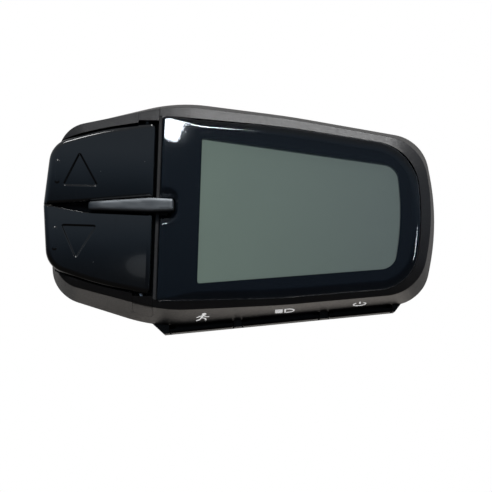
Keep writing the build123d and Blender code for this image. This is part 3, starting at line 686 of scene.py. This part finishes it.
def add_lens():
    """Clear window with a soft shoulder, narrow at its left end, and a notch round the divider."""
    skin = Skin("lens_cover")
    last = skin.loop(lens_ring(0.0), LENS_BACK)
    skin.cap(last)
    for inset, drop in [*rounded_edge(*LENS_SHOULDER), (LENS_GUARD, 0.0)]:
        following = skin.loop(lens_ring(inset), drop)
        skin.strip(last, following)
        last = following
    skin.fill(last, [], 0.0, LENS_MESH)
    attach(skin.finish(), "root", "window_clear", "window_lens")


def add_lens_border():
    """Black print on the back of the window's rim, out to its edge, seen through the clear shoulder."""
    skin = Skin("lens_border_print")
    loops = [skin.loop(ring(LENS, inset, LENS_SPAN), depth) for inset, depth in BORDER_SECTION]
    for first, second in zip(loops, loops[1:] + loops[:1]):
        skin.strip(first, second)
    attach(skin.finish(), "root", "window_print")


FIN_HEIGHT = 1.3  # how far the blade stands out of the lens face
FIN_FOOT = 2.1
FIN_SPAN = 0.4
FIN_EDGE = ((0.0, 0.5), (0.03, 0.25), (0.12, 0.1), (0.3, 0.03), (0.42, 0.0))
NOSE_START = -24.6
NOSE_LENGTH = 2.6
NOSE_DROP = 0.5


def add_divider():
    """Thumb divider: a spear-shaped blade with eased edges and a dipping nose."""
    skin = Skin("divider_blade", lambda x, z: NOSE_DROP * max(0.0, (NOSE_START - x) / NOSE_LENGTH) ** 2)
    last = skin.loop(ring(FIN, 0.0, FIN_SPAN), FIN_FOOT, False)
    skin.cap(last)
    for inset, drop in FIN_EDGE:
        following = skin.loop(ring(FIN, inset, FIN_SPAN), drop - FIN_HEIGHT)
        skin.strip(last, following)
        last = following
    skin.fill(last, [], -FIN_HEIGHT, FIN_SPAN)
    attach(skin.finish(), "root", "divider_satin", "thumb_divider")


add_housing()
add_buttons()
add_lens()
add_lens_border()
add_divider()


# ---- printed icons on the lower side wall ----
BELOW = -0.06


def wall_finder(node):
    """Function that gives the outer wall's height and outward direction below a place and depth."""
    source = frame["nodes"][node]
    tree = BVHTree.FromPolygons(
        [v.co.copy() for v in source.data.vertices], [tuple(p.vertices) for p in source.data.polygons]
    )

    def find(x, depth):
        start = Vector((x * MM, (depth - FACE) * MM, BELOW))
        spot, normal, _, _ = tree.ray_cast(start, Vector((0, 0, 1)))
        return spot, (normal if normal.z < 0 else -normal)

    return find


INK_HEIGHT = 0.04
INK_ROOT = 0.05
INK_WIDTH = 0.3
ICON_DEPTH = 6.4


def printed(name, place, strokes, find):
    """Icon from short strokes: thin raised ribbons that follow the wall."""
    form = bmesh.new()
    for stroke in strokes:
        closed = stroke[0] == stroke[-1]
        points = [Vector(p) for p in stroke]
        count = len(points)
        rows = []
        for i, p in enumerate(points):
            before = points[i - 1] if i else (points[-2] if closed else p)
            after = points[i + 1] if i + 1 < count else (points[1] if closed else p)
            way = (after - before).normalized()
            aside = Vector((-way.y, way.x)) * (INK_WIDTH / 2)
            row = []
            for edge in (p + aside, p - aside):
                spot, normal = find(place + edge.x, ICON_DEPTH + edge.y)
                row += [spot + normal * INK_HEIGHT * MM, spot - normal * INK_ROOT * MM]
            rows.append([form.verts.new(v) for v in row])
        for a, b in zip(rows, rows[1:]):
            for i, j in ((0, 2), (2, 3), (3, 1), (1, 0)):
                form.faces.new((a[i], a[j], b[j], b[i]))
        for end in (rows[0], rows[-1]):
            form.faces.new((end[0], end[2], end[3], end[1]))
    bmesh.ops.recalc_face_normals(form, faces=form.faces)
    mesh = bpy.data.meshes.new(name)
    form.to_mesh(mesh)
    form.free()
    piece = bpy.data.objects.new(name, mesh)
    scene.collection.objects.link(piece)
    mesh.materials.append(MATERIALS["ink"])
    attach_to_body(piece, "root")


def arc(middle, radius, start, end, steps=12):
    """Points on part of a circle, by angle in degrees."""
    found = []
    for k in range(steps + 1):
        angle = radians(start + (end - start) * k / steps)
        found.append((middle[0] + radius * cos(angle), middle[1] + radius * sin(angle)))
    return found


def add_icons():
    """Walk-assist, headlamp and power marks, in the order of the keys below them."""
    find = wall_finder("front_housing")
    walk = [
        arc((0.55, -1.55), 0.28, 0, 360),
        [(0.45, -1.0), (0.05, 0.15), (0.75, 0.75), (0.85, 1.6)],
        [(0.05, 0.15), (-0.25, 1.0), (-0.85, 1.55)],
        [(0.4, -0.85), (-0.35, -0.35), (-0.8, -0.1)],
        [(0.4, -0.85), (0.95, -0.1), (1.45, -0.05)],
    ]
    lamp = [
        [(0.2, -1.1), (0.7, -1.1)] + arc((0.7, 0.0), 1.1, -90, 90, 14) + [(0.2, 1.1), (0.2, -1.1)],
        [(-0.25, -0.95), (-1.6, -0.95)],
        [(-0.25, -0.3), (-1.6, -0.3)],
        [(-0.25, 0.35), (-1.6, 0.35)],
        [(-0.25, 1.0), (-1.6, 1.0)],
    ]
    power = [arc((0.0, 0.15), 1.1, -52, 232, 22), [(0.0, -1.45), (0.0, -0.1)]]
    printed("walk_mark", -6.4, walk, find)
    printed("lamp_mark", 8.6, lamp, find)
    printed("power_mark", 22.3, power, find)


add_icons()


# ---- light ----
def area_light(name, place, target, size, power, colour, roll=0.0):
    """Soft rectangular lamp at a place, turned to a target, both in millimetres."""
    data = bpy.data.lights.new(name, "AREA")
    data.shape = "RECTANGLE"
    data.size, data.size_y = size[0] * MM, size[1] * MM
    data.energy = power
    data.color = colour
    lamp = bpy.data.objects.new(name, data)
    scene.collection.objects.link(lamp)
    lamp.visible_camera = False
    lamp.location = Vector(place) * MM
    aim = (Vector(target) - Vector(place)).normalized()
    lamp.rotation_mode = "QUATERNION"
    lamp.rotation_quaternion = aim.to_track_quat("-Z", "Y") @ Quaternion((0, 0, 1), radians(roll))
    return lamp


def linked(lamp, names, state="INCLUDE"):
    """Limits a lamp to some pieces, or keeps it off them."""
    receivers = bpy.data.collections.new(lamp.name + "_receivers")
    for name in names:
        receivers.objects.link(bpy.data.objects[name])
    for entry in receivers.collection_objects:
        entry.light_linking.link_state = state
    lamp.light_linking.receiver_collection = receivers


# Tones of the surroundings by height, from straight down at 0 to straight up at 1.
SURROUND_LOWEST = (0.045, 0.041, 0.038, 1.0)
SURROUND_HIGHEST = (0.30, 0.31, 0.32, 1.0)
SURROUND_BETWEEN = (
    (0.36, (0.050, 0.048, 0.047, 1.0)),
    (0.485, (0.050, 0.060, 0.075, 1.0)),
    (0.53, (0.095, 0.130, 0.175, 1.0)),
    (0.56, (0.170, 0.225, 0.290, 1.0)),
    (0.60, (0.27, 0.33, 0.40, 1.0)),
    (0.76, (0.28, 0.31, 0.34, 1.0)),
)
BEHIND_TONE = (0.40, 0.39, 0.38, 1.0)
BEHIND_SPAN = (0.2, 0.85)


def add_world():
    """Surroundings that light the object, cool above and warm below, and plain white to the camera."""
    world = bpy.data.worlds.new("studio")
    world.use_nodes = True
    tree = world.node_tree
    tree.nodes.clear()
    output = tree.nodes.new("ShaderNodeOutputWorld")
    seen = tree.nodes.new("ShaderNodeBackground")
    seen.inputs["Color"].default_value = (1.0, 1.0, 1.0, 1.0)
    lit = tree.nodes.new("ShaderNodeBackground")
    place = tree.nodes.new("ShaderNodeTexCoord")
    split = tree.nodes.new("ShaderNodeSeparateXYZ")
    tree.links.new(place.outputs["Generated"], split.inputs[0])
    ramp = tree.nodes.new("ShaderNodeValToRGB")
    height = tree.nodes.new("ShaderNodeMapRange")
    height.inputs[1].default_value = -1.0
    tree.links.new(split.outputs["Z"], height.inputs[0])
    tree.links.new(height.outputs[0], ramp.inputs[0])
    stops = ramp.color_ramp.elements
    stops[0].position, stops[0].color = 0.0, SURROUND_LOWEST
    stops[1].position, stops[1].color = 1.0, SURROUND_HIGHEST
    for position, colour in SURROUND_BETWEEN:
        stop = stops.new(position)
        stop.color = colour
    behind = tree.nodes.new("ShaderNodeMapRange")
    behind.interpolation_type = "SMOOTHSTEP"
    behind.inputs[1].default_value, behind.inputs[2].default_value = BEHIND_SPAN
    tree.links.new(split.outputs["Y"], behind.inputs[0])
    backed = tree.nodes.new("ShaderNodeMix")
    backed.data_type = "RGBA"
    backed.inputs[7].default_value = BEHIND_TONE
    tree.links.new(behind.outputs[0], backed.inputs[0])
    tree.links.new(ramp.outputs[0], backed.inputs[6])
    tree.links.new(backed.outputs[2], lit.inputs["Color"])
    path = tree.nodes.new("ShaderNodeLightPath")
    mixed = tree.nodes.new("ShaderNodeMixShader")
    tree.links.new(path.outputs["Is Camera Ray"], mixed.inputs[0])
    tree.links.new(lit.outputs[0], mixed.inputs[1])
    tree.links.new(seen.outputs[0], mixed.inputs[2])
    tree.links.new(mixed.outputs[0], output.inputs["Surface"])
    scene.world = world


FLOOR_RADIUS = 1.0
FLOOR_LEVEL = -0.42


def add_floor():
    """Plain pale disc well below the object, which it neither lights nor shows in."""
    mesh = bpy.data.meshes.new("floor")
    form = bmesh.new()
    bmesh.ops.create_circle(form, cap_ends=True, radius=FLOOR_RADIUS, segments=96)
    bmesh.ops.translate(form, verts=form.verts, vec=(0.0, 0.0, FLOOR_LEVEL))
    form.to_mesh(mesh)
    form.free()
    floor = bpy.data.objects.new("floor", mesh)
    scene.collection.objects.link(floor)
    n = Nodes("floor_pale")
    tone = n.blend(n.ramp(n.noise(40.0, 2.0), 0.3, 0.7), (0.80, 0.80, 0.80), (0.84, 0.84, 0.84))
    mesh.materials.append(n.surface(tone, n.ramp(n.noise(6.0), 0.3, 0.7, 0.7, 0.8)))
    floor.visible_diffuse = False
    floor.visible_glossy = False


add_floor()
add_world()
scene.view_settings.view_transform = "Standard"


COOL = (0.95, 0.98, 1.0)
PLAIN = (1.0, 1.0, 1.0)
WARM = (1.0, 0.90, 0.80)
CAPS = ["upper_button_cap", "lower_button_cap"]
FRONT = ["housing_skin", "bridge_skin", "lens_cover", *CAPS, "divider_blade"]

# Eight of the nine lamps are limited: they light only the pieces named, or skip them.
window = area_light("window", (-17.2, -633, 160.4), (-17.2, -30, 63.4), (15, 130), 0.30, COOL, -20.0)
linked(window, ["lens_cover"])
doorway = area_light("doorway", (-7, -630, -10), (-18, -30, -10), (58, 60), 0.0032, (0.9, 0.96, 1.0))
doorway.data.shape = "ELLIPSE"
linked(doorway, ["lower_button_cap"])
key = area_light("key", (150, -520, 400), (0, -30, 0), (120, 120), 4.2, (1.0, 0.99, 0.97))
linked(key, ["lens_cover", *CAPS], "EXCLUDE")
side_window = area_light("side_window", (500, -330, -15), (30, -30, 0), (60, 120), 0.6, COOL)
linked(side_window, ["lens_cover"])
overhead = area_light("overhead", (90, -145, 600), (0, -25, 0), (180, 180), 2.4, PLAIN)
linked(overhead, ["lens_cover", "floor"], "EXCLUDE")
brow = area_light("brow", (-260, -330, 560), (-25, -30, 10), (200, 120), 1.0, PLAIN)
linked(brow, CAPS)
back_soft = area_light("back_soft", (350, 520, 330), (0, 0, 0), (420, 320), 9.0, PLAIN)
linked(back_soft, [*FRONT, "floor"], "EXCLUDE")
area_light("low_back", (60, 420, -300), (0, 0, -10), (400, 220), 0.2, WARM)
ink_fill = area_light("ink_fill", (10, -240, -88), (10, -25, -18), (200, 60), 0.8, PLAIN)
linked(ink_fill, ["walk_mark", "lamp_mark", "power_mark"])
